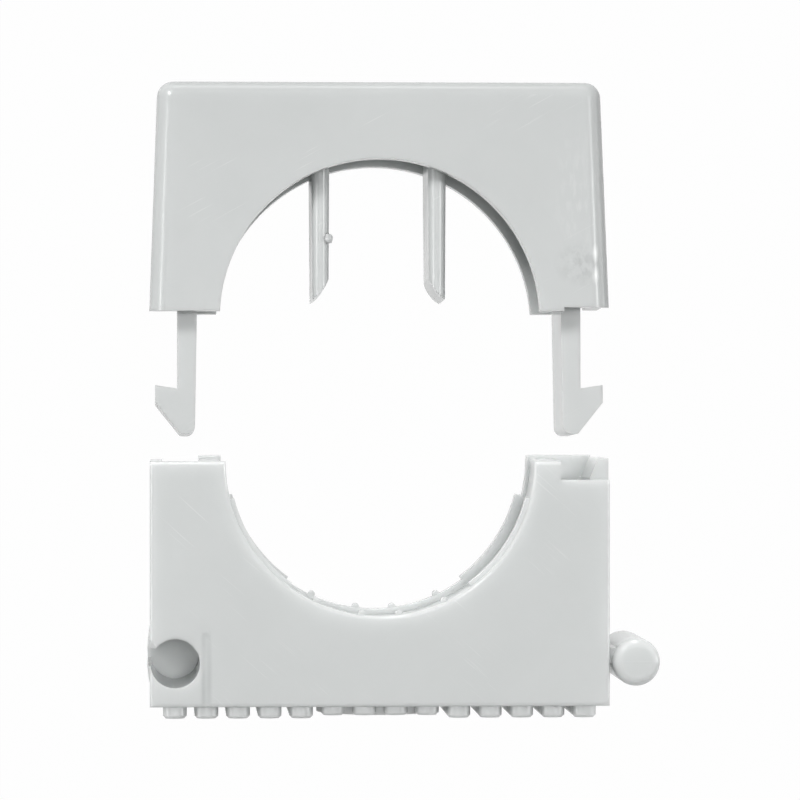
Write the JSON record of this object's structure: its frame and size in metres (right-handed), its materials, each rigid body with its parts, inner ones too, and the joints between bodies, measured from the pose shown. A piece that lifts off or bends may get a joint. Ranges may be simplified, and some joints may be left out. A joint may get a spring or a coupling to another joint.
{
  "type": "cable clip",
  "caption": "Plastic saddle clip for cable or conduit: a base screwed to a wall, with a push-on cap shown lifted off.",
  "frame": {"origin": "on the wall plane under the screw hole, halfway along the clip", "axes": "+X across the row of clips towards the peg, +Y away from the wall, +Z along the cable towards the face that shows the socket's mouth"},
  "size_m": [0.0625, 0.0775, 0.02],
  "materials": {
    "base_plastic": "satin light grey",
    "lid_plastic": "satin light grey"
  },
  "bodies": {
    "base": {"base": "base_plastic"},
    "lid": {"lid": "lid_plastic"}
  },
  "joints": [
    {"name": "lid_lift", "type": "slide", "parent": "base", "child": "lid", "axis": [0, 1, 0], "range_m": [-0.0053, 0.02]}
  ]
}
